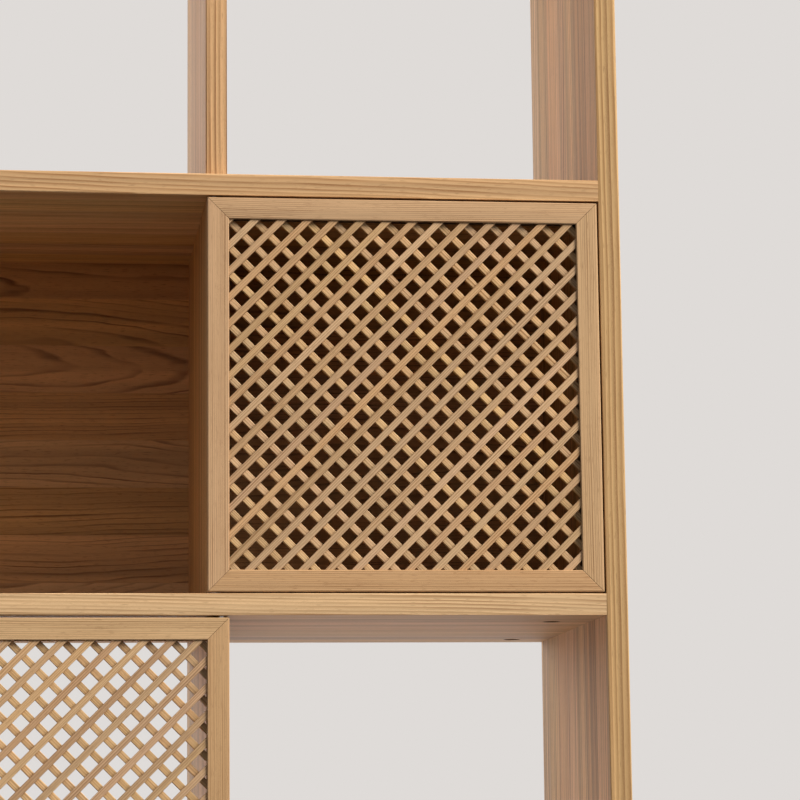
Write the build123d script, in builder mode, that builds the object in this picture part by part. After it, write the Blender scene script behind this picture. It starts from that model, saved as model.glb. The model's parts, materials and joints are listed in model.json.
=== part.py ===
"""Book cabinet: open bays, backed bays and square lattice doors between two side panels.

Millimetres, +Z up. The origin is on the floor, under the middle of the cabinet, and -Y is the front.
Every board is solid wood. The shelves run from side panel to side panel, and the dividers stand
between them, set back so that a door lies in front of a divider and flush with the shelves.
"""

from build123d import *
import os

os.makedirs("parts", exist_ok=True)

# ---------------------------------------------------------------- driving dimensions

board = 18.0  # thickness of side panels, shelves and dividers
depth = 320.0  # side panels and shelves, front to back
bay_width = 313.5  # clear width of a bay
bay_height = 333.0  # clear height of a bay
plinth_height = 24.0
plinth_front_setback = 30.0
plinth_back_setback = 5.0  # leaves the bottom board's cam locks within reach
edge_break = 0.8  # chamfer on long edges

# Bays from the top row down and from left to right.
# open: no door and no back. backed: a back panel. screen: a door only. closed: a door and a back.
bay_plan = (
    ("open", "open", "open"),
    ("open", "backed", "closed"),
    ("backed", "screen", "open"),
    ("closed", "open", "backed"),
    ("open", "open", "closed"),
)
row_names = ("row_1", "row_2", "row_3", "row_4", "row_5")
column_names = ("left", "middle", "right")

back_thickness = 9.0
back_setback = 295.0  # front of the cabinet to the front of a back panel
groove_depth = 5.0
groove_bottom_gap = 0.5

door_thickness = 18.0
door_frame_width = 18.3  # stiles and rails
door_side_gap = 1.5
door_top_gap = 1.9
door_bottom_gap = 1.1
door_back_gap = 2.0  # door's back to the divider behind it

slat_width = 5.65
slat_thickness = 4.5
slat_spacing = 22.1  # along the frame's edge, between slats of one layer
slat_recess = 2.0  # door's front to the front layer of slats
slat_groove_depth = 4.0
slat_end_gap = 0.5

pivot_radius = 2.5
pivot_in_shelf = 8.0
pivot_in_door = 14.0
pivot_from_edge = 6.0  # pin's axis to the door's edge
washer_radius = 5.5

cam_radius = 7.5
cam_depth = 13.0
cam_from_end = 34.0
cam_from_front = 73.0
cam_from_back = 36.0
cam_face_inset = 3.0  # the cam lies this deep in its hole
cam_slot_width = 1.4
cam_slot_length = 9.0
cam_slot_depth = 2.0
bolt_radius = 3.0
bolt_neck_radius = 1.75
bolt_in_side = 11.0
bolt_head_length = 3.0
bolt_neck_length = 5.0
bolt_head_bevel = 0.5
bolt_tip_bevel = 1.0
bolt_channel_gap = 0.3  # bolt head to the channel in its cam
dowel_radius = 4.0
dowel_in_side = 10.0
dowel_in_shelf_end = 20.0
dowel_in_shelf_face = 8.0
dowel_in_divider = 22.0
dowel_in_plinth = 20.0
dowel_to_cam = 32.0
divider_dowel_inset = 60.0  # from a divider's front or back edge
plinth_dowel_pitch = 320.0
plinth_dowels = 3  # along each plinth rail

catch_width = 36.0
catch_depth = 11.0
catch_height = 10.0
catch_from_door_edge = 6.0
catch_gap = 0.3  # strike plate to magnet
pole_stand_out = 0.7
pole_width = 3.0
pole_height = 6.0
pole_spacing = 16.0
plate_width = 30.0
plate_height = 8.0
plate_thickness = 1.2
plate_corner = 1.5

glide_thickness = 3.0
glide_length = 40.0
glide_width = 14.0
glide_inset = 20.0
glide_corner = 2.0

fit = 0.05  # radial clearance of pins, bolts and dowels in their holes
hole_end_gap = 0.5  # past the end of a dowel or bolt

# ---------------------------------------------------------------- places worked out from them

rows = len(bay_plan)
columns = len(bay_plan[0])
front = -depth / 2
back = depth / 2
inner_width = columns * bay_width + (columns - 1) * board
overall_width = inner_width + 2 * board
side_inner = inner_width / 2
bottom_board_z = glide_thickness + plinth_height
row_pitch = bay_height + board
overall_height = bottom_board_z + rows * row_pitch + board
divider_setback = door_thickness + door_back_gap
divider_depth = depth - divider_setback
dowel_hole = dowel_radius + fit
bolt_hole = bolt_radius + fit
pivot_hole = pivot_radius + fit
dowel_face_reach = dowel_in_shelf_face + hole_end_gap
door_width = bay_width + board - door_side_gap
door_height = bay_height - door_top_gap - door_bottom_gap
pivot_y = front + door_thickness / 2
cam_places_y = (front + cam_from_front, back - cam_from_back)
end_dowel_places_y = (cam_places_y[0] + dowel_to_cam, cam_places_y[1] - dowel_to_cam)
divider_dowel_places_y = (
    front + divider_setback + divider_dowel_inset,
    back - divider_dowel_inset,
)
plinth_middles_y = (
    front + plinth_front_setback + board / 2,
    back - plinth_back_setback - board / 2,
)
plinth_dowel_places_x = [
    (index - (plinth_dowels - 1) / 2) * plinth_dowel_pitch for index in range(plinth_dowels)
]


def level_z(level):
    """Underside of a board. Level 0 is the bottom board and level `rows` is the top board."""
    return bottom_board_z + level * row_pitch


def bay_floor_z(row):
    """Floor of a bay, where row 0 is the top row."""
    return level_z(rows - 1 - row) + board


def bay_left_x(column):
    return -side_inner + column * (bay_width + board)


def divider_left_x(index):
    return bay_left_x(index) + bay_width


def bays_with(*kinds):
    """(row, column) of every bay of the given kinds, from the top down."""
    return [
        (row, column)
        for row in range(rows)
        for column in range(columns)
        if bay_plan[row][column] in kinds
    ]


def bay_name(row, column):
    return f"{row_names[row]}_{column_names[column]}"


def hinged_on_left(column):
    """A door covers a divider's whole front edge and turns there: in the right column, its left one."""
    return column == columns - 1


def door_left_x(column):
    if hinged_on_left(column):
        return bay_left_x(column) - board
    return bay_left_x(column) + bay_width + board - door_width


def pivot_x(column):
    if hinged_on_left(column):
        return door_left_x(column) + pivot_from_edge
    return door_left_x(column) + door_width - pivot_from_edge


def save(piece, name):
    piece.part.label = name
    export_step(piece.part, f"parts/{name}.step")


# ---------------------------------------------------------------- cuts shared by several pieces


def cut_back_grooves():
    """Grooves for every back panel, cut from the piece in hand where they reach into it."""
    for row, column in bays_with("backed", "closed"):
        with Locations(
            (
                bay_left_x(column) + bay_width / 2,
                front + back_setback + back_thickness / 2,
                bay_floor_z(row) + bay_height / 2,
            )
        ):
            Box(
                bay_width + 2 * groove_depth,
                back_thickness,
                bay_height + 2 * groove_depth,
                mode=Mode.SUBTRACT,
            )


def cut_along_x(radius, reach, x, places_y, z):
    """Round holes along X, centred on x and reaching that far each way."""
    with Locations(*[(x, y, z) for y in places_y]):
        Cylinder(radius, 2 * reach, rotation=(0, 90, 0), mode=Mode.SUBTRACT)


def cut_along_z(radius, reach, x, places_y, z):
    """Round holes along Z, centred on z and reaching that far each way."""
    with Locations(*[(x, y, z) for y in places_y]):
        Cylinder(radius, 2 * reach, mode=Mode.SUBTRACT)


def cut_pivot_holes():
    """Holes for every door's pivot pins, cut from the piece in hand where they reach into it."""
    for row, column in bays_with("screen", "closed"):
        ends = (bay_floor_z(row), bay_floor_z(row) + bay_height)
        for z in ends:
            cut_along_z(pivot_hole, pivot_in_shelf, pivot_x(column), (pivot_y,), z)


# ---------------------------------------------------------------- side panels

for side, name in ((-1, "side_panel_left"), (1, "side_panel_right")):
    with BuildPart() as side_panel:
        with Locations((side * (side_inner + board / 2), 0, glide_thickness)):
            Box(
                board,
                depth,
                overall_height - glide_thickness,
                align=(Align.CENTER, Align.CENTER, Align.MIN),
            )
        chamfer(side_panel.edges().filter_by(Axis.Z), edge_break)
        for level in range(rows + 1):
            middle_z = level_z(level) + board / 2
            face_x = side * side_inner
            cut_along_x(bolt_hole, bolt_in_side + hole_end_gap, face_x, cam_places_y, middle_z)
            cut_along_x(dowel_hole, dowel_in_side + hole_end_gap, face_x, end_dowel_places_y, middle_z)
        cut_back_grooves()
    save(side_panel, name)

# ---------------------------------------------------------------- top board, shelves, bottom board


def board_name(level):
    if level == 0:
        return "bottom_board"
    if level == rows:
        return "top_board"
    return f"shelf_{rows - level}"


for level in range(rows + 1):
    underside_z = level_z(level)
    with BuildPart() as shelf:
        with Locations((0, 0, underside_z)):
            Box(inner_width, depth, board, align=(Align.CENTER, Align.CENTER, Align.MIN))
        chamfer(shelf.edges().filter_by(Axis.X), edge_break)
        for side in (-1, 1):
            cam_x = side * (side_inner - cam_from_end)
            end_x = side * side_inner
            middle_z = underside_z + board / 2
            cut_along_z(cam_radius, cam_depth, cam_x, cam_places_y, underside_z)
            cut_along_x(bolt_hole, cam_from_end, end_x, cam_places_y, middle_z)
            cut_along_x(
                dowel_hole, dowel_in_shelf_end + hole_end_gap, end_x, end_dowel_places_y, middle_z
            )
        for index in range(columns - 1):
            divider_x = divider_left_x(index) + board / 2
            if level > 0:
                cut_along_z(dowel_hole, dowel_face_reach, divider_x, divider_dowel_places_y, underside_z)
            if level < rows:
                top_z = underside_z + board
                cut_along_z(dowel_hole, dowel_face_reach, divider_x, divider_dowel_places_y, top_z)
        if level == 0:
            for dowel_x in plinth_dowel_places_x:
                cut_along_z(dowel_hole, dowel_face_reach, dowel_x, plinth_middles_y, underside_z)
        cut_pivot_holes()
        cut_back_grooves()
    save(shelf, board_name(level))

# ---------------------------------------------------------------- dividers

for row in range(rows):
    for index in range(columns - 1):
        divider_x = divider_left_x(index) + board / 2
        with BuildPart() as divider:
            with Locations((divider_x, back, bay_floor_z(row))):
                Box(board, divider_depth, bay_height, align=(Align.CENTER, Align.MAX, Align.MIN))
            chamfer(divider.edges().filter_by(Axis.Z), edge_break)
            for end_z in (bay_floor_z(row), bay_floor_z(row) + bay_height):
                cut_along_z(
                    dowel_hole, dowel_in_divider + hole_end_gap, divider_x, divider_dowel_places_y, end_z
                )
            cut_back_grooves()
        side_name = "left" if index == 0 else "right"
        save(divider, f"divider_{row_names[row]}_{side_name}")

# ---------------------------------------------------------------- back panels

for row, column in bays_with("backed", "closed"):
    reach = groove_depth - groove_bottom_gap
    with BuildPart() as back_panel:
        with Locations(
            (
                bay_left_x(column) + bay_width / 2,
                front + back_setback,
                bay_floor_z(row) + bay_height / 2,
            )
        ):
            Box(
                bay_width + 2 * reach,
                back_thickness,
                bay_height + 2 * reach,
                align=(Align.CENTER, Align.MIN, Align.CENTER),
            )
    save(back_panel, f"back_panel_{bay_name(row, column)}")

# ---------------------------------------------------------------- plinth and glides

with BuildPart() as plinth_rails:
    with Locations(*[(0, y, glide_thickness) for y in plinth_middles_y]):
        Box(inner_width, board, plinth_height, align=(Align.CENTER, Align.CENTER, Align.MIN))
    for dowel_x in plinth_dowel_places_x:
        cut_along_z(
            dowel_hole, dowel_in_plinth + hole_end_gap, dowel_x, plinth_middles_y, bottom_board_z
        )
save(plinth_rails, "plinth_rails")

with BuildPart() as felt_glides:
    with BuildSketch(Plane.XY):
        side_middle = side_inner + board / 2
        glide_y = depth / 2 - glide_inset - glide_length / 2
        with Locations(*[(x, y) for x in (-side_middle, side_middle) for y in (-glide_y, glide_y)]):
            RectangleRounded(glide_width, glide_length, glide_corner)
        with Locations(*[(0, y) for y in plinth_middles_y]):
            RectangleRounded(glide_length, glide_width, glide_corner)
    extrude(amount=glide_thickness)
save(felt_glides, "felt_glides")

# ---------------------------------------------------------------- cam locks, cam bolts and dowels

cam_height = cam_depth - cam_face_inset
bolt_channel_radius = bolt_radius + bolt_channel_gap

with BuildPart() as cam_shape:
    # Stands on its visible face, centred on the cam's axis. The bolt comes in along +X.
    Cylinder(cam_radius - fit, cam_height, align=(Align.CENTER, Align.CENTER, Align.MIN))
    for turn in (0, 90):
        with Locations(Location((0, 0, 0), (0, 0, turn))):
            Box(cam_slot_length, cam_slot_width, 2 * cam_slot_depth, mode=Mode.SUBTRACT)
    with Locations((-bolt_radius, 0, board / 2 - cam_face_inset)):
        Cylinder(
            bolt_channel_radius,
            cam_radius + 2 * bolt_radius,
            rotation=(0, 90, 0),
            align=(Align.CENTER, Align.CENTER, Align.MIN),
            mode=Mode.SUBTRACT,
        )

with BuildPart() as bolt_shape:
    # Turned about X. Its head lies on the cam's axis, and its thread ends inside the side panel.
    with BuildSketch(Plane.XY):
        with BuildLine():
            head_end = -bolt_head_length / 2
            neck_end = head_end + bolt_head_length + bolt_neck_length
            tip = cam_from_end + bolt_in_side
            Polyline(
                (head_end, 0),
                (head_end, bolt_radius - bolt_head_bevel),
                (head_end + bolt_head_bevel, bolt_radius),
                (head_end + bolt_head_length, bolt_radius),
                (head_end + bolt_head_length, bolt_neck_radius),
                (neck_end, bolt_neck_radius),
                (neck_end, bolt_radius),
                (tip - bolt_tip_bevel, bolt_radius),
                (tip, bolt_radius - bolt_tip_bevel),
                (tip, 0),
                close=True,
            )
        make_face()
    revolve(axis=Axis.X)

cam_locks_places = []
cam_bolts_places = []
for level in range(rows + 1):
    for side, turn in ((1, 0), (-1, 180)):
        for y in cam_places_y:
            cam_x = side * (side_inner - cam_from_end)
            cam_locks_places.append(Location((cam_x, y, level_z(level) + cam_face_inset), (0, 0, turn)))
            cam_bolts_places.append(Location((cam_x, y, level_z(level) + board / 2), (0, 0, turn)))

with BuildPart() as cam_locks:
    with Locations(*cam_locks_places):
        add(cam_shape.part)
save(cam_locks, "cam_locks")

with BuildPart() as cam_bolts:
    with Locations(*cam_bolts_places):
        add(bolt_shape.part)
save(cam_bolts, "cam_bolts")

with BuildPart() as dowels:
    for level in range(rows + 1):
        for side in (-1, 1):
            start_x = side_inner - dowel_in_shelf_end
            with Locations(*[(side * start_x, y, level_z(level) + board / 2) for y in end_dowel_places_y]):
                Cylinder(
                    dowel_radius,
                    dowel_in_shelf_end + dowel_in_side,
                    rotation=(0, 90 * side, 0),
                    align=(Align.CENTER, Align.CENTER, Align.MIN),
                )
    for row in range(rows):
        floor_z = bay_floor_z(row)
        for index in range(columns - 1):
            divider_x = divider_left_x(index) + board / 2
            for start_z in (floor_z - dowel_in_shelf_face, floor_z + bay_height - dowel_in_divider):
                with Locations(*[(divider_x, y, start_z) for y in divider_dowel_places_y]):
                    Cylinder(
                        dowel_radius,
                        dowel_in_shelf_face + dowel_in_divider,
                        align=(Align.CENTER, Align.CENTER, Align.MIN),
                    )
    for dowel_x in plinth_dowel_places_x:
        with Locations(*[(dowel_x, y, bottom_board_z - dowel_in_plinth) for y in plinth_middles_y]):
            Cylinder(
                dowel_radius,
                dowel_in_plinth + dowel_in_shelf_face,
                align=(Align.CENTER, Align.CENTER, Align.MIN),
            )
save(dowels, "dowels")

# ---------------------------------------------------------------- pivot pins, washers and catches

with BuildPart() as pivot_pins:
    for row, column in bays_with("screen", "closed"):
        floor_z = bay_floor_z(row)
        ceiling_z = floor_z + bay_height
        low_length = pivot_in_shelf + door_bottom_gap + pivot_in_door
        high_length = pivot_in_shelf + door_top_gap + pivot_in_door
        with Locations((pivot_x(column), pivot_y, floor_z - pivot_in_shelf)):
            Cylinder(pivot_radius, low_length, align=(Align.CENTER, Align.CENTER, Align.MIN))
        with Locations((pivot_x(column), pivot_y, ceiling_z + pivot_in_shelf)):
            Cylinder(pivot_radius, high_length, align=(Align.CENTER, Align.CENTER, Align.MAX))
save(pivot_pins, "pivot_pins")

with BuildPart() as pivot_washers:
    for row, column in bays_with("screen", "closed"):
        with BuildSketch(Plane.XY.offset(bay_floor_z(row))):
            with Locations((pivot_x(column), pivot_y)):
                Circle(washer_radius)
                Circle(pivot_hole, mode=Mode.SUBTRACT)
        extrude(amount=door_bottom_gap)
save(pivot_washers, "pivot_washers")


def catch_x(column):
    """Middle of a catch and of its strike plate, near the door's free edge."""
    inset = catch_from_door_edge + catch_width / 2
    if hinged_on_left(column):
        return door_left_x(column) + door_width - inset
    return door_left_x(column) + inset


pole_y = front + door_thickness + plate_thickness + catch_gap
plate_middle_below_shelf = catch_height / 2 + door_top_gap / 2

with BuildPart() as magnet_catches:
    for row, column in bays_with("screen", "closed"):
        ceiling_z = bay_floor_z(row) + bay_height
        with Locations((catch_x(column), pole_y + pole_stand_out, ceiling_z)):
            Box(catch_width, catch_depth, catch_height, align=(Align.CENTER, Align.MIN, Align.MAX))
        with Locations((catch_x(column), pole_y, ceiling_z - plate_middle_below_shelf)):
            with GridLocations(pole_spacing, 0, 2, 1):
                Box(pole_width, pole_stand_out, pole_height, align=(Align.CENTER, Align.MIN, Align.CENTER))
save(magnet_catches, "magnet_catches")

# ---------------------------------------------------------------- doors

slat_panel_width = door_width - 2 * (door_frame_width - slat_groove_depth + slat_end_gap)
slat_panel_height = door_height - 2 * (door_frame_width - slat_groove_depth + slat_end_gap)
opening_width = door_width - 2 * door_frame_width
opening_height = door_height - 2 * door_frame_width


def door_plane(row, column, setback):
    """Parallel to the door's front and that far behind it, from its lower left corner."""
    origin = (door_left_x(column), front + setback, bay_floor_z(row) + door_bottom_gap)
    return Plane(origin=origin, x_dir=(1, 0, 0), z_dir=(0, -1, 0))


def cut_slat_groove(row, column):
    middle_x = door_left_x(column) + door_width / 2
    middle_z = bay_floor_z(row) + door_bottom_gap + door_height / 2
    with Locations((middle_x, front + slat_recess, middle_z)):
        Box(
            opening_width + 2 * slat_groove_depth,
            2 * slat_thickness,
            opening_height + 2 * slat_groove_depth,
            align=(Align.CENTER, Align.MIN, Align.CENTER),
            mode=Mode.SUBTRACT,
        )


def cut_door_pivots(row, column):
    low_z = bay_floor_z(row) + door_bottom_gap
    for end_z in (low_z, low_z + door_height):
        cut_along_z(pivot_hole, pivot_in_door + hole_end_gap, pivot_x(column), (pivot_y,), end_z)


def slat_centres(lean):
    """Middles of one layer's slats, from the door's corner. A slat crosses the opening's top left corner.

    lean is 1 for slats that rise to the right and -1 for slats that fall to the right.
    """
    corner_x = door_frame_width
    corner_y = door_height - door_frame_width
    centre_x = door_width / 2
    centre_y = door_height / 2
    start = (centre_x - corner_x) - lean * (centre_y - corner_y)
    reach = opening_width + opening_height
    count = int(reach / slat_spacing) + 2
    places = []
    for step in range(-count, count + 1):
        along = (step * slat_spacing - start) / 2
        if abs(2 * along) < reach / 2 + slat_width:
            places.append((centre_x + along, centre_y - lean * along))
    return places


def slat_layer(row, column, setback, lean):
    with BuildPart() as slats:
        with BuildSketch(door_plane(row, column, setback)):
            with Locations(*slat_centres(lean)):
                Rectangle(2 * door_width, slat_width, rotation=45 * lean)
            with Locations((door_width / 2, door_height / 2)):
                Rectangle(slat_panel_width, slat_panel_height, mode=Mode.INTERSECT)
        extrude(amount=-slat_thickness)
    return slats


for row, column in bays_with("screen", "closed"):
    door = f"door_{bay_name(row, column)}"
    frame = door_frame_width
    outlines = {
        "left_stile": ((0, 0), (frame, frame), (frame, door_height - frame), (0, door_height)),
        "right_stile": (
            (door_width, 0),
            (door_width, door_height),
            (door_width - frame, door_height - frame),
            (door_width - frame, frame),
        ),
        "bottom_rail": ((0, 0), (door_width, 0), (door_width - frame, frame), (frame, frame)),
        "top_rail": (
            (0, door_height),
            (frame, door_height - frame),
            (door_width - frame, door_height - frame),
            (door_width, door_height),
        ),
    }
    for member, corners in outlines.items():
        long_axis = Axis.Z if "stile" in member else Axis.X
        with BuildPart() as frame_member:
            with BuildSketch(door_plane(row, column, 0)):
                Polygon(*corners, align=None)
            extrude(amount=-door_thickness)
            chamfer(frame_member.edges().filter_by(long_axis), edge_break)
            cut_slat_groove(row, column)
            cut_door_pivots(row, column)
        save(frame_member, f"{door}_{member}")

    save(slat_layer(row, column, slat_recess, 1), f"{door}_front_slats")
    save(slat_layer(row, column, slat_recess + slat_thickness, -1), f"{door}_back_slats")

    with BuildPart() as strike_plate:
        plate_z = bay_floor_z(row) + bay_height - plate_middle_below_shelf
        plate_plane = Plane(
            origin=(catch_x(column), front + door_thickness, plate_z), x_dir=(1, 0, 0), z_dir=(0, -1, 0)
        )
        with BuildSketch(plate_plane):
            RectangleRounded(plate_width, plate_height, plate_corner)
        extrude(amount=-plate_thickness)
    save(strike_plate, f"{door}_strike_plate")

print(f"overall {overall_width} x {depth} x {overall_height}, doors {door_width} x {door_height}")
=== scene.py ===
"""Looks of the book cabinet: oiled ash boards, lattice doors and their fittings, on a pale floor.

Metres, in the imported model's frame: +Z up, -Y the front, the origin on the floor under the middle.
"""

import json
import math
import random

import bmesh
import bpy
import numpy as np
from mathutils import Matrix, Vector


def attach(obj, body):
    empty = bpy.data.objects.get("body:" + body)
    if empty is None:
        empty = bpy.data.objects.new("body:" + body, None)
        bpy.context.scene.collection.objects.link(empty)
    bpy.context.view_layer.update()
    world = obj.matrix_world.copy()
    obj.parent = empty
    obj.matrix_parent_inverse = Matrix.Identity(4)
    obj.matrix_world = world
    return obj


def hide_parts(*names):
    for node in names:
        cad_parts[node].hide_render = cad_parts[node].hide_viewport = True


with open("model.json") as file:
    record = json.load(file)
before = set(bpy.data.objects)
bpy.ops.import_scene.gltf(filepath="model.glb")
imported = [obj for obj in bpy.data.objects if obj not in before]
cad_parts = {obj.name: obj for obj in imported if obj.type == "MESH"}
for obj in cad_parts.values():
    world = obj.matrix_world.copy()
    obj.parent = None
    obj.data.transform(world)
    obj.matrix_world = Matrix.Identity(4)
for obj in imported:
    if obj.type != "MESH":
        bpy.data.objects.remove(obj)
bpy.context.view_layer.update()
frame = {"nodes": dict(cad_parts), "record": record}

MM = 0.001
bodies = frame["record"]["behaviour"]["bodies"]
body_of_node = {name: body for body, names in bodies.items() for name in names}
slot_of_node = {row["node"]: row["material_slot"] for row in frame["record"]["subparts"]}
chance = random.Random(7)

# ---------------------------------------------------------------- materials

# How often the wood's patterns repeat in a metre along the grain, across it and through it.
BEND_REPEATS = (2.6, 9.0, 9.0)  # about 385 mm long and 110 mm wide
WAVE_REPEATS = (16.0, 70.0, 70.0)  # 60 mm by 14 mm
STRETCH_REPEATS = (9.0, 65.0, 65.0)  # 110 mm by 15 mm
STREAK_REPEATS = (0.6, 55.0, 55.0)  # 1.7 m by 18 mm
FIBRE_REPEATS = (28.0, 820.0, 820.0)  # 36 mm by 1.2 mm
PORE_REPEATS = (110.0, 1250.0, 1250.0)  # 9 mm by 0.8 mm
LOG_REACH = 40.0  # metres of wood that the staves' places are drawn from
MOST_LEAN = 0.03  # of a stave to its log, as a slope


def linear(hex_colour):
    """An sRGB hex colour as linear red, green, blue and alpha."""
    channels = [int(hex_colour[i : i + 2], 16) / 255 for i in (1, 3, 5)]
    return [c / 12.92 if c <= 0.04045 else ((c + 0.055) / 1.055) ** 2.4 for c in channels] + [1.0]


def add_node(tree, kind, inputs=None, **settings):
    """Adds a shader node with its settings. Each input gets a value, or a link from a node or socket."""
    new = tree.nodes.new("ShaderNode" + kind)
    for name, value in settings.items():
        setattr(new, name, value)
    for socket, value in (inputs or {}).items():
        if isinstance(value, bpy.types.Node):
            value = value.outputs[0]
        if isinstance(value, bpy.types.NodeSocket):
            tree.links.new(value, new.inputs[socket])
        else:
            new.inputs[socket].default_value = value
    return new


def new_material(name):
    """An empty material with its node tree and a Principled shader on its output."""
    material = bpy.data.materials.new(name)
    material.use_nodes = True
    tree = material.node_tree
    tree.nodes.clear()
    shader = add_node(tree, "BsdfPrincipled")
    add_node(tree, "OutputMaterial", {"Surface": shader})
    return material, tree, shader


def oiled_ash(
    name, colours, ring, stave, pith_across, pith_depth, wander, late_from, fading, streaks, tone_spread
):
    """Ash, planed along the grain, sanded and oiled by hand.

    It shows growth rings as soft bands that darken towards a crisp edge, arches where a board is cut
    flat, fine dark pores in the early wood, darker end grain and a dull sheen. The colours are the
    early wood's, the late wood's and the pores'. ring is the width of a year's growth, stave the width
    of the strips that a board is glued up from, pith_across and pith_depth the least and most distances
    from a strip to the middle of its log, and wander how far the rings stray from true circles, all in
    millimetres. late_from is the share of a year that stays pale. fading is what the faintest stretch
    of a ring keeps of its strength. streaks and tone_spread say how much the tone changes across the
    fibres and from stave to stave.
    """
    early, late, pore = colours
    material, tree, shader = new_material(name)
    plank = add_node(tree, "Attribute", attribute_name="plank")
    piece = add_node(tree, "Attribute", attribute_name="piece").outputs["Fac"]
    end_grain_and_hole_shade = add_node(tree, "Attribute", attribute_name="end_grain_and_hole_shade").outputs["Fac"]
    axes = add_node(tree, "SeparateXYZ", {"Vector": plank.outputs["Vector"]})
    along, across, through = axes.outputs

    # Which stave this is, and the place in the log that it was sawn from.
    shifted = add_node(
        tree, "Math", {0: across, 1: 1 / (stave * MM), 2: piece}, operation="MULTIPLY_ADD"
    )
    number = add_node(tree, "Math", {0: shifted}, operation="FLOOR")
    which = add_node(tree, "CombineXYZ", {"X": number, "Y": piece})
    draw = add_node(tree, "TexWhiteNoise", {"Vector": which}, noise_dimensions="2D")
    draws = add_node(tree, "SeparateColor", {"Color": draw.outputs["Color"]})
    first, second, third = draws.outputs
    fourth = draw.outputs["Value"]
    in_log = add_node(tree, "Math", {0: fourth, 1: LOG_REACH, 2: along}, operation="MULTIPLY_ADD")
    log_place = add_node(tree, "CombineXYZ", {"X": in_log, "Y": across, "Z": through})

    # Distance from the log's pith, which lies below and beside the stave and leans along it.
    aside = add_node(
        tree, "MapRange", {"Value": first, "To Min": pith_across[0] * MM, "To Max": pith_across[1] * MM}
    )
    below = add_node(
        tree, "MapRange", {"Value": second, "To Min": pith_depth[0] * MM, "To Max": pith_depth[1] * MM}
    )
    lean = add_node(tree, "MapRange", {"Value": third, "To Min": -MOST_LEAN, "To Max": MOST_LEAN})
    within = add_node(tree, "Math", {0: shifted, 1: number}, operation="SUBTRACT")
    centred = add_node(
        tree, "Math", {0: within, 1: stave * MM, 2: aside}, operation="MULTIPLY_ADD"
    )
    depth = add_node(tree, "Math", {0: along, 1: lean, 2: below}, operation="MULTIPLY_ADD")
    deep = add_node(tree, "Math", {0: depth, 1: through}, operation="ADD")
    from_pith = add_node(tree, "CombineXYZ", {"X": centred, "Y": deep})
    radius = add_node(tree, "VectorMath", {0: from_pith}, operation="LENGTH").outputs["Value"]

    # Slow bends of the trunk and small waves of the fibres.
    bend_place = add_node(tree, "VectorMath", {0: log_place, 1: BEND_REPEATS}, operation="MULTIPLY")
    bend = add_node(tree, "TexNoise", {"Vector": bend_place, "Scale": 1.0, "Detail": 1.0})
    bent = add_node(
        tree, "Math", {0: bend.outputs["Fac"], 1: wander * MM, 2: radius}, operation="MULTIPLY_ADD"
    )
    wave_place = add_node(tree, "VectorMath", {0: log_place, 1: WAVE_REPEATS}, operation="MULTIPLY")
    wave = add_node(tree, "TexNoise", {"Vector": wave_place, "Scale": 1.0, "Detail": 2.0})
    waved = add_node(
        tree, "Math", {0: wave.outputs["Fac"], 1: wander * MM / 9, 2: bent}, operation="MULTIPLY_ADD"
    )

    # Years differ in width, and each year's wood goes from pale early wood to darker late wood.
    years = add_node(tree, "Math", {0: waved, 1: 1 / (ring * MM)}, operation="MULTIPLY")
    seasons = add_node(
        tree, "TexNoise", {"W": years, "Scale": 0.45, "Detail": 1.0}, noise_dimensions="1D"
    )
    uneven = add_node(
        tree, "Math", {0: seasons.outputs["Fac"], 1: 1.0, 2: years}, operation="MULTIPLY_ADD"
    )
    year = add_node(tree, "Math", {0: uneven}, operation="FLOOR")
    season = add_node(tree, "Math", {0: uneven, 1: year}, operation="SUBTRACT")
    darkening = add_node(
        tree, "MapRange", {"Value": season, "From Min": late_from, "From Max": 0.93},
        interpolation_type="SMOOTHSTEP",
    )
    ending = add_node(tree, "MapRange", {"Value": season, "From Min": 1.0, "From Max": 0.92})
    year_draw = add_node(tree, "TexWhiteNoise", {"W": year}, noise_dimensions="1D")
    strength = add_node(
        tree, "MapRange", {"Value": year_draw.outputs["Value"], "To Min": 0.6, "To Max": 1.0}
    )
    # Stretches where the rings stand out or fade.
    stretch_place = add_node(
        tree, "VectorMath", {0: log_place, 1: STRETCH_REPEATS}, operation="MULTIPLY"
    )
    stretch = add_node(tree, "TexNoise", {"Vector": stretch_place, "Scale": 1.0, "Detail": 2.0})
    standing_out = add_node(
        tree,
        "MapRange",
        {"Value": stretch.outputs["Fac"], "From Min": 0.36, "From Max": 0.6, "To Min": fading},
    )
    late_wood = add_node(tree, "Math", {0: darkening, 1: ending}, operation="MULTIPLY")
    drawn = add_node(tree, "Math", {0: late_wood, 1: strength}, operation="MULTIPLY")
    late_share = add_node(tree, "Math", {0: drawn, 1: standing_out}, operation="MULTIPLY")
    ringed = add_node(
        tree, "Mix", {"Factor": late_share, "A": linear(early), "B": linear(late)}, data_type="RGBA"
    )

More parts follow.
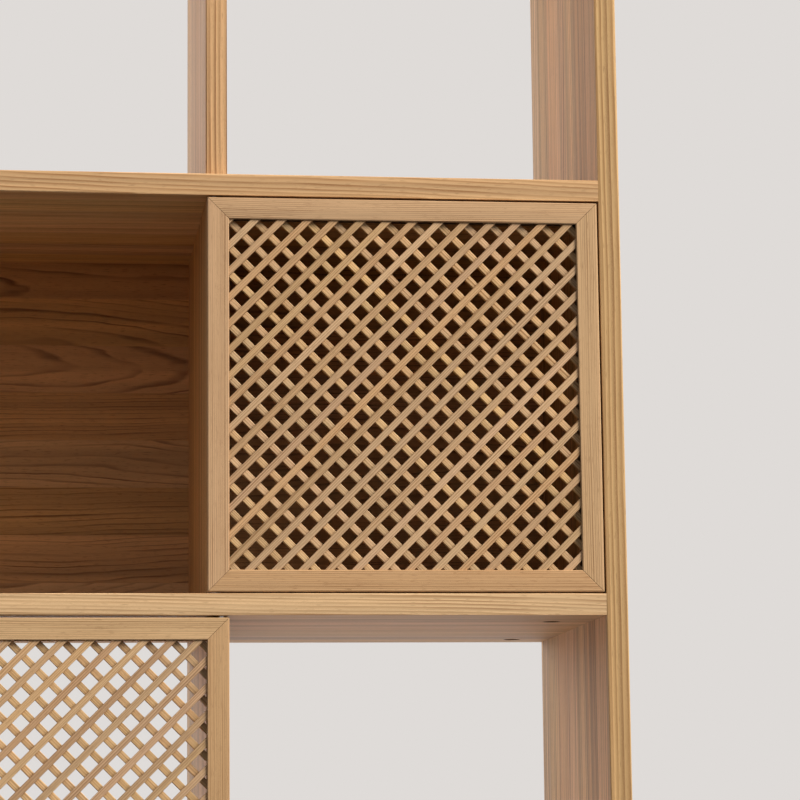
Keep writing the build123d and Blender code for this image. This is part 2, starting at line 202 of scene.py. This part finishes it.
    # Streaks from 18 mm wide down to 5 mm and fibres from 1.2 mm down, which are coarser than real ones
    # so that they show, and pores drawn 0.8 mm wide for the same reason.
    streak_place = add_node(
        tree, "VectorMath", {0: log_place, 1: STREAK_REPEATS}, operation="MULTIPLY"
    )
    streak = add_node(
        tree, "TexNoise", {"Vector": streak_place, "Scale": 1.0, "Detail": 2.0, "Roughness": 0.55}
    )
    fibre_place = add_node(
        tree, "VectorMath", {0: log_place, 1: FIBRE_REPEATS}, operation="MULTIPLY"
    )
    fibre = add_node(tree, "TexNoise", {"Vector": fibre_place, "Scale": 1.0, "Detail": 3.0})
    pore_place = add_node(
        tree, "VectorMath", {0: log_place, 1: PORE_REPEATS}, operation="MULTIPLY"
    )
    pores = add_node(tree, "TexNoise", {"Vector": pore_place, "Scale": 1.0, "Detail": 1.0})
    pore_spots = add_node(
        tree, "MapRange", {"Value": pores.outputs["Fac"], "From Min": 0.6, "From Max": 0.72}
    )
    early_wood = add_node(tree, "Math", {0: 1.0, 1: darkening}, operation="SUBTRACT")
    pore_share = add_node(tree, "Math", {0: pore_spots, 1: early_wood}, operation="MULTIPLY")
    faint_pores = add_node(tree, "Math", {0: pore_share, 1: 0.5}, operation="MULTIPLY")
    pored = add_node(
        tree,
        "Mix",
        {"Factor": faint_pores, "A": ringed.outputs["Result"], "B": linear(pore)},
        data_type="RGBA",
    )

    # Each year starts with a pale fringe, next to the last one's dark edge.
    fresh = add_node(
        tree, "MapRange", {"Value": season, "From Max": 0.35, "To Min": 1.0, "To Max": 0.0},
        interpolation_type="SMOOTHSTEP",
    )
    fresh_share = add_node(tree, "Math", {0: fresh, 1: standing_out}, operation="MULTIPLY")

    # Tone: from stave to stave, along the streaks, at the fringes and from fibre to fibre.
    stave_tone = add_node(
        tree,
        "MapRange",
        {"Value": third, "To Min": 1 - tone_spread, "To Max": 1 + tone_spread},
    )
    streak_tone = add_node(
        tree,
        "MapRange",
        {
            "Value": streak.outputs["Fac"],
            "From Min": 0.34,
            "From Max": 0.66,
            "To Min": -streaks,
            "To Max": streaks,
        },
    )
    streaked = add_node(tree, "Math", {0: stave_tone, 1: streak_tone}, operation="ADD")
    fringed = add_node(
        tree, "Math", {0: fresh_share, 1: 0.09, 2: streaked}, operation="MULTIPLY_ADD"
    )
    fibre_tone = add_node(
        tree,
        "MapRange",
        {"Value": fibre.outputs["Fac"], "From Min": 0.3, "From Max": 0.7, "To Min": 0.94, "To Max": 1.06},
    )
    fibrous = add_node(tree, "Math", {0: fringed, 1: fibre_tone}, operation="MULTIPLY")
    # End grain soaks up more oil and is darker. The walls and floors of bored holes are darkened too, as
    # painted shade.
    end_grain_and_hole_shade_tone = add_node(
        tree,
        "MapRange",
        {"Value": end_grain_and_hole_shade, "From Min": 0.3, "From Max": 0.7, "To Min": 1.0, "To Max": 0.35},
    )
    tone = add_node(tree, "Math", {0: fibrous, 1: end_grain_and_hole_shade_tone}, operation="MULTIPLY")
    hue = add_node(tree, "MapRange", {"Value": second, "To Min": 0.494, "To Max": 0.504})
    depth_of_colour = add_node(tree, "MapRange", {"Value": first, "To Min": 0.93, "To Max": 1.06})
    toned = add_node(
        tree,
        "HueSaturation",
        {"Hue": hue, "Saturation": depth_of_colour, "Value": tone, "Color": pored.outputs["Result"]},
    )
    tree.links.new(toned.outputs["Color"], shader.inputs["Base Color"])

    roughness = add_node(
        tree, "MapRange", {"Value": fibre.outputs["Fac"], "To Min": 0.55, "To Max": 0.75}
    )
    tree.links.new(roughness.outputs["Result"], shader.inputs["Roughness"])
    relief = add_node(
        tree, "Math", {0: late_share, 1: 0.35, 2: fibre.outputs["Fac"]}, operation="MULTIPLY_ADD"
    )
    relief_left = add_node(tree, "Math", {0: relief, 1: pore_share}, operation="SUBTRACT")
    bump = add_node(tree, "Bump", {"Height": relief_left, "Strength": 0.35, "Distance": 0.06 * MM})
    tree.links.new(bump.outputs["Normal"], shader.inputs["Normal"])
    shader.inputs["IOR"].default_value = 1.5
    shader.inputs["Specular IOR Level"].default_value = 0.2
    return material


def speckled(name, base, other, grain, roughness, relief, metallic=0.0, stretch=(1, 1, 1), spread=0.5):
    """A material with a fine two-tone grain of the given size in millimetres, and relief to match."""
    material, tree, shader = new_material(name)
    place = add_node(tree, "TexCoord").outputs["Object"]
    stretched = add_node(tree, "VectorMath", {0: place, 1: stretch}, operation="MULTIPLY")
    noise = add_node(tree, "TexNoise", {"Vector": stretched, "Scale": 1 / (grain * MM), "Detail": 3.0})
    share = add_node(
        tree,
        "MapRange",
        {"Value": noise.outputs["Fac"], "From Min": 0.5 - spread / 2, "From Max": 0.5 + spread / 2},
    )
    colour = add_node(
        tree, "Mix", {"Factor": share, "A": linear(base), "B": linear(other)}, data_type="RGBA"
    )
    gloss = add_node(
        tree, "MapRange", {"Value": share, "To Min": roughness[0], "To Max": roughness[1]}
    )
    bump = add_node(tree, "Bump", {"Height": share, "Strength": 0.4, "Distance": relief * MM})
    tree.links.new(colour.outputs["Result"], shader.inputs["Base Color"])
    tree.links.new(gloss.outputs["Result"], shader.inputs["Roughness"])
    tree.links.new(bump.outputs["Normal"], shader.inputs["Normal"])
    shader.inputs["Metallic"].default_value = metallic
    return material


# Solid ash uprights, glued up from staves cut flat, far from the pith: even bands about 4 mm wide on
# their edges and long parallel streaks on their faces.
upright_ash = oiled_ash(
    "oiled_ash_uprights",
    colours=("#D2AC7C", "#8E653C", "#835E3C"),
    ring=3.6,
    stave=46,
    pith_across=(28, 70),
    pith_depth=(85, 130),
    wander=8,
    late_from=0.15,
    fading=0.6,
    streaks=0.27,
    tone_spread=0.08,
)
# Solid ash shelves: paler, with finer bands that wave a little.
shelf_ash = oiled_ash(
    "oiled_ash_shelves",
    colours=("#D0AD7F", "#94693D", "#866340"),
    ring=2.9,
    stave=46,
    pith_across=(15, 80),
    pith_depth=(70, 130),
    wander=12,
    late_from=0.25,
    fading=0.4,
    streaks=0.22,
    tone_spread=0.09,
)
# Thinner ash panels behind the bays: the same wood, cut flat, with wide arches and thin dark lines.
back_ash = oiled_ash(
    "oiled_ash_back_panels",
    colours=("#C89E6E", "#633E22", "#734F2E"),
    ring=3.2,
    stave=44,
    pith_across=(-85, 85),
    pith_depth=(30, 110),
    wander=24,
    late_from=0.62,
    fading=0.12,
    streaks=0.2,
    tone_spread=0.13,
)
# Door frames from slow-grown ash: narrow rings, some pieces lined and some almost plain.
frame_ash = oiled_ash(
    "oiled_ash_door_frames",
    colours=("#CDA97D", "#90673D", "#85603C"),
    ring=1.7,
    stave=1000,
    pith_across=(-90, 90),
    pith_depth=(20, 90),
    wander=6,
    late_from=0.3,
    fading=0.35,
    streaks=0.1,
    tone_spread=0.06,
)
# Lattice slats ripped from many offcuts, so their tone changes from slat to slat. The back layer's colours
# are paler, as painted light that offsets the shade the front layer casts on it.
slats = {}
for layer, colours in (
    ("front", ("#CBA87F", "#92683F", "#85603E")),
    # Paler colours for the back layer: painted light against the front layer's shade.
    ("back", ("#DAB88A", "#9C7146", "#8E6844")),
):
    slats[layer] = oiled_ash(
        f"oiled_ash_{layer}_slats",
        colours=colours,
        ring=1.9,
        stave=1000,
        pith_across=(-85, 85),
        pith_depth=(35, 120),
        wander=5,
        late_from=0.3,
        fading=0.45,
        streaks=0.12,
        tone_spread=0.1,
    )
# Turned beech: short pink-brown flecks and no visible rings.
beech = speckled("turned_beech", "#D9B48C", "#C39A72", 1.2, (0.5, 0.6), 0.02, stretch=(1, 1, 0.2))
# Die-cast zinc: grey and dull, with a slightly pitted skin.
zinc = speckled("die_cast_zinc", "#9C9C9A", "#82827F", 0.6, (0.38, 0.52), 0.02, metallic=1.0)
# Drawn steel, satin from its drawing marks.
steel = speckled(
    "drawn_steel", "#B9BABB", "#9FA0A1", 0.5, (0.24, 0.36), 0.01, metallic=1.0, stretch=(0.1, 1, 1)
)
# Moulded nylon: milky, with a faint mould texture.
nylon = speckled("moulded_nylon", "#EDEBE4", "#E2DFD6", 0.4, (0.42, 0.5), 0.01)
# Moulded ABS, dark brown, with a fine spark-eroded mould texture.
brown_abs = speckled("moulded_brown_abs", "#4A3527", "#3E2B1F", 0.35, (0.4, 0.52), 0.02)
# Pressed wool felt: matt and fibrous.
felt = speckled("pressed_felt", "#5B5048", "#463D36", 0.5, (0.95, 1.0), 0.25, stretch=(1, 1, 0.3))

# ---------------------------------------------------------------- meshes

ALONG_X = Matrix(((1, 0, 0), (0, 1, 0), (0, 0, 1)))
ALONG_Z = Matrix(((0, 0, 1), (0, 1, 0), (1, 0, 0)))
ALONG_X_UPRIGHT = Matrix(((1, 0, 0), (0, 0, 1), (0, 1, 0)))
ALONG_Z_FACING = Matrix(((0, 0, 1), (1, 0, 0), (0, 1, 0)))
SLANT = math.sqrt(0.5)
RISING = Matrix(((SLANT, 0, SLANT), (-SLANT, 0, SLANT), (0, 1, 0)))
FALLING = Matrix(((SLANT, 0, -SLANT), (SLANT, 0, SLANT), (0, 1, 0)))

WELD = 0.001 * MM  # points closer than this become one
FLAT = math.radians(0.5)  # faces that turn by less than this become one
SHARP = math.radians(20)  # outer edges that turn by more than this are eased
SHORTEST_EASED = 1.2 * MM
STAVE_NUMBERS = 1000  # a piece starts at a stave number below this


def grain_of(name):
    """Rows are the piece's directions along the grain, across it and through its thickness."""
    if name.endswith("front_slats"):
        return RISING
    if name.endswith("back_slats"):
        return FALLING
    if name.endswith("stile"):
        return ALONG_Z_FACING
    if name.endswith("rail") or name.startswith("back_panel") or name == "plinth_rails":
        return ALONG_X_UPRIGHT
    if name.startswith(("side_panel", "divider")):
        return ALONG_Z
    return ALONG_X


def islands(mesh):
    """Lists of vertices that hang together."""
    left = set(mesh.verts)
    found = []
    while left:
        start = min(left, key=lambda vertex: vertex.index)
        left.discard(start)
        group, edge = [start], [start]
        while edge:
            vertex = edge.pop()
            for link in vertex.link_edges:
                other = link.other_vert(vertex)
                if other in left:
                    left.discard(other)
                    group.append(other)
                    edge.append(other)
        found.append(group)
    return found


def soften(mesh, arris, shortest):
    """Rounds every sharp outer edge that is longer than shortest by a small radius."""
    edges = [
        edge
        for edge in mesh.edges
        if len(edge.link_faces) == 2
        and edge.calc_length() > shortest
        and edge.calc_face_angle_signed(0) > SHARP
    ]
    bmesh.ops.bevel(
        mesh, geom=edges, offset=arris, segments=2, profile=0.5, affect="EDGES", clamp_overlap=True
    )


def finish_piece(piece, name, material):
    """Gives a piece its material and puts it in the place of the CAD node of that name."""
    piece.data.materials.append(material)
    piece.data.shade_smooth()
    normals = piece.modifiers.new("even_normals", "WEIGHTED_NORMAL")
    normals.keep_sharp = True
    normals.weight = 100
    bpy.context.scene.collection.objects.link(piece)
    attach(piece, body_of_node[name])
    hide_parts(name)


def end_grain_and_hole_shade_shares(mesh, grain, groups):
    """How much darkening each face gets: all of it in bored holes, as painted shade, and on end grain,
    which soaks up more oil; none elsewhere.
    """
    shares = np.zeros(len(mesh.faces), np.float32)
    for group in groups:
        places = [grain @ vertex.co for vertex in group]
        low = [min(place[axis] for place in places) + MM for axis in range(3)]
        high = [max(place[axis] for place in places) - MM for axis in range(3)]
        for face in {face for vertex in group for face in vertex.link_faces}:
            centre = grain @ face.calc_center_median()
            # Faces inside the piece's outline are the walls and floors of bored holes, darkened fully as
            # painted shade.
            bored = all(low[axis] < centre[axis] < high[axis] for axis in range(3))
            shares[face.index] = 1.0 if bored else abs((grain @ face.normal)[0])
    return shares


def wooden(name, material, arris, apart):
    """A wooden piece on a CAD node's shape, with eased edges and its own place in a log.

    apart says that each loose part of the mesh is its own stick, with its own colour.
    """
    mesh = bmesh.new()
    mesh.from_mesh(frame["nodes"][name].data)
    bmesh.ops.remove_doubles(mesh, verts=mesh.verts, dist=WELD)
    bmesh.ops.dissolve_limit(mesh, angle_limit=FLAT, verts=mesh.verts, edges=mesh.edges)
    soften(mesh, arris * MM, SHORTEST_EASED)
    mesh.verts.index_update()
    mesh.faces.index_update()
    mesh.normal_update()
    grain = grain_of(name)
    groups = islands(mesh) if apart else [list(mesh.verts)]
    single_stave = material is frame_ash or apart
    plank = np.zeros((len(mesh.verts), 3), np.float32)
    piece_number = np.zeros(len(mesh.verts), np.float32)
    for group in groups:
        places = [grain @ vertex.co for vertex in group]
        low = Vector([min(place[axis] for place in places) for axis in range(3)])
        # A stick from a single stave starts halfway across it, so that no glue line crosses the stick.
        if single_stave:
            number = chance.randrange(STAVE_NUMBERS) + 0.5
        else:
            number = chance.random() * STAVE_NUMBERS
        for vertex, place in zip(group, places):
            plank[vertex.index] = place - low
            piece_number[vertex.index] = number
    end_grain_and_hole_shade = end_grain_and_hole_shade_shares(mesh, grain, groups)
    data = bpy.data.meshes.new(name + "_ash")
    mesh.to_mesh(data)
    mesh.free()
    data.attributes.new("plank", "FLOAT_VECTOR", "POINT").data.foreach_set("vector", plank.ravel())
    data.attributes.new("piece", "FLOAT", "POINT").data.foreach_set("value", piece_number)
    data.attributes.new("end_grain_and_hole_shade", "FLOAT", "FACE").data.foreach_set("value", end_grain_and_hole_shade)
    finish_piece(bpy.data.objects.new(name + "_ash", data), name, material)


wood_finishes = {
    "board_wood": (shelf_ash, 0.3),
    "back_wood": (back_ash, 0.3),
    "door_frame_wood": (frame_ash, 0.4),
    "slat_wood": (slats["front"], 0.6),
}
for name, slot in slot_of_node.items():
    if slot in wood_finishes:
        material, arris = wood_finishes[slot]
        if name.startswith(("side_panel", "divider")):
            material = upright_ash
        # The back slats take the paler colours, painted light against the shade of the front slats.
        if name.endswith("back_slats"):
            material = slats["back"]
        wooden(name, material, arris, slot == "slat_wood")

fitting_finishes = {
    "cam_locks": zinc,
    "cam_bolts": steel,
    "dowels": beech,
    "pivot_pins": steel,
    "pivot_washers": nylon,
    "magnet_catches": brown_abs,
    "felt_glides": felt,
}
# The doors' strike plates have no row of their own and are steel.
for name, node_object in frame["nodes"].items():
    if slot_of_node[name] not in wood_finishes:
        node_object.data.materials.clear()
        node_object.data.materials.append(fitting_finishes.get(name, steel))

# ---------------------------------------------------------------- floor, backdrop, light, camera

BACKDROP = "#DFDBD8"


def pale_floor():
    """A round floor that keeps the cabinet's shadow and fades into the backdrop."""
    radius, fade_from, fade_to = 9.0, 1.4, 5.5
    mesh = bmesh.new()
    bmesh.ops.create_circle(mesh, cap_ends=True, segments=128, radius=radius)
    data = bpy.data.meshes.new("floor")
    mesh.to_mesh(data)
    mesh.free()
    floor = bpy.data.objects.new("floor", data)
    bpy.context.scene.collection.objects.link(floor)
    material, tree, shader = new_material("matt_floor_paint")
    place = add_node(tree, "TexCoord").outputs["Object"]
    distance = add_node(tree, "VectorMath", {0: place}, operation="LENGTH").outputs["Value"]
    fade = add_node(
        tree, "MapRange", {"Value": distance, "From Min": fade_from, "From Max": fade_to},
        interpolation_type="SMOOTHSTEP",
    )
    clear = add_node(tree, "BsdfTransparent")
    faded = add_node(tree, "MixShader", {0: fade, 1: shader, 2: clear})
    output = next(item for item in tree.nodes if item.type == "OUTPUT_MATERIAL")
    tree.links.new(faded.outputs[0], output.inputs["Surface"])
    shader.inputs["Base Color"].default_value = linear("#BDB9B6")
    shader.inputs["Roughness"].default_value = 0.9
    data.materials.append(material)
    # Diffuse light from the glows below passes the floor.
    floor.visible_diffuse = False


def studio_world():
    """The backdrop's colour where it is seen, soft light from above and two glows from below."""
    below_behind = (0.0, 0.82, -0.57)
    below_in_front = (0.0, -0.35, -0.94)
    world = bpy.data.worlds.new("studio")
    bpy.context.scene.world = world
    world.use_nodes = True
    tree = world.node_tree
    tree.nodes.clear()
    rays = add_node(tree, "LightPath")
    camera_or_gloss = add_node(
        tree, "Math", {0: rays.outputs["Is Camera Ray"], 1: rays.outputs["Is Glossy Ray"]}, operation="ADD"
    )
    seen = add_node(
        tree,
        "Math",
        {0: camera_or_gloss, 1: rays.outputs["Is Transmission Ray"]},
        operation="ADD",
        use_clamp=True,
    )
    backdrop = add_node(tree, "Background", {"Color": linear(BACKDROP), "Strength": 1.0})
    direction = add_node(tree, "TexCoord").outputs["Generated"]
    axes = add_node(tree, "SeparateXYZ", {"Vector": direction})
    above = add_node(
        tree, "MapRange", {"Value": axes.outputs["Z"], "From Min": -0.1, "From Max": 0.1},
        interpolation_type="SMOOTHSTEP",
    )
    front_or_rear = add_node(
        tree,
        "MapRange",
        {"Value": axes.outputs["Y"], "From Min": -0.1, "From Max": 0.1, "To Min": 0.38, "To Max": 0.34},
    )
    sky = add_node(tree, "Math", {0: above, 1: front_or_rear}, operation="MULTIPLY")
    level = sky
    # A glow grows from its edge to its core, which are cosines of the angle from its middle.
    for towards, edge, core, strength in (
        (below_behind, 0.5, 0.95, 3.0),
        (below_in_front, 0.82, 0.98, 0.5),
    ):
        nearness = add_node(tree, "VectorMath", {0: direction, 1: towards}, operation="DOT_PRODUCT")
        glow = add_node(
            tree,
            "MapRange",
            {"Value": nearness.outputs["Value"], "From Min": edge, "From Max": core, "To Max": strength},
            interpolation_type="SMOOTHSTEP",
        )
        level = add_node(tree, "Math", {0: level, 1: glow}, operation="ADD")
    soft_light = add_node(tree, "Background", {"Color": linear("#F7F9FF"), "Strength": level})
    both = add_node(tree, "MixShader", {0: seen, 1: soft_light, 2: backdrop})
    add_node(tree, "OutputWorld", {"Surface": both})


def aimed(place, target):
    """The rotation of a lamp at a place, so that it shines at a target."""
    return (Vector(target) - Vector(place)).to_track_quat("-Z", "Y").to_matrix().to_4x4()


def lamp(name, place, target, width, height, power, colour):
    data = bpy.data.lights.new(name, "AREA")
    data.shape = "RECTANGLE"
    data.size = width
    data.size_y = height
    data.energy = power
    data.color = linear(colour)[:3]
    light = bpy.data.objects.new(name, data)
    light.matrix_world = Matrix.Translation(place) @ aimed(place, target)
    light.visible_camera = False
    bpy.context.scene.collection.objects.link(light)


def main_camera():
    """Looks up at the right-hand bays from the front, with a long lens."""
    data = bpy.data.cameras.new("camera")
    data.lens = 131.42
    data.sensor_width = 36.0
    camera = bpy.data.objects.new("camera", data)
    yaw, pitch, roll = math.radians(7.17), math.radians(8.753), math.radians(0.611)
    turn = Matrix.Rotation(-yaw, 4, "Z") @ Matrix.Rotation(math.pi / 2 + pitch, 4, "X")
    place = Vector((17.3, -2542.0, 889.3)) * MM
    camera.matrix_world = Matrix.Translation(place) @ turn @ Matrix.Rotation(-roll, 4, "Z")
    bpy.context.scene.collection.objects.link(camera)
    bpy.context.scene.camera = camera


pale_floor()
studio_world()
middle = (0.0, 0.0, 1.0)
# Large and high, in front and to the right, so that it doesn't reach the backs of the bays.
lamp("key", (5.29, -4.13, 5.36), middle, 4.0, 4.0, 880, "#FFF7EE")
# Behind, for the sides and backs that the key doesn't reach.
lamp("rear", (-3.2, 4.2, 2.6), middle, 3.4, 2.6, 95, "#FFFFFF")
main_camera()

view = bpy.context.scene.view_settings
view.view_transform = "Standard"
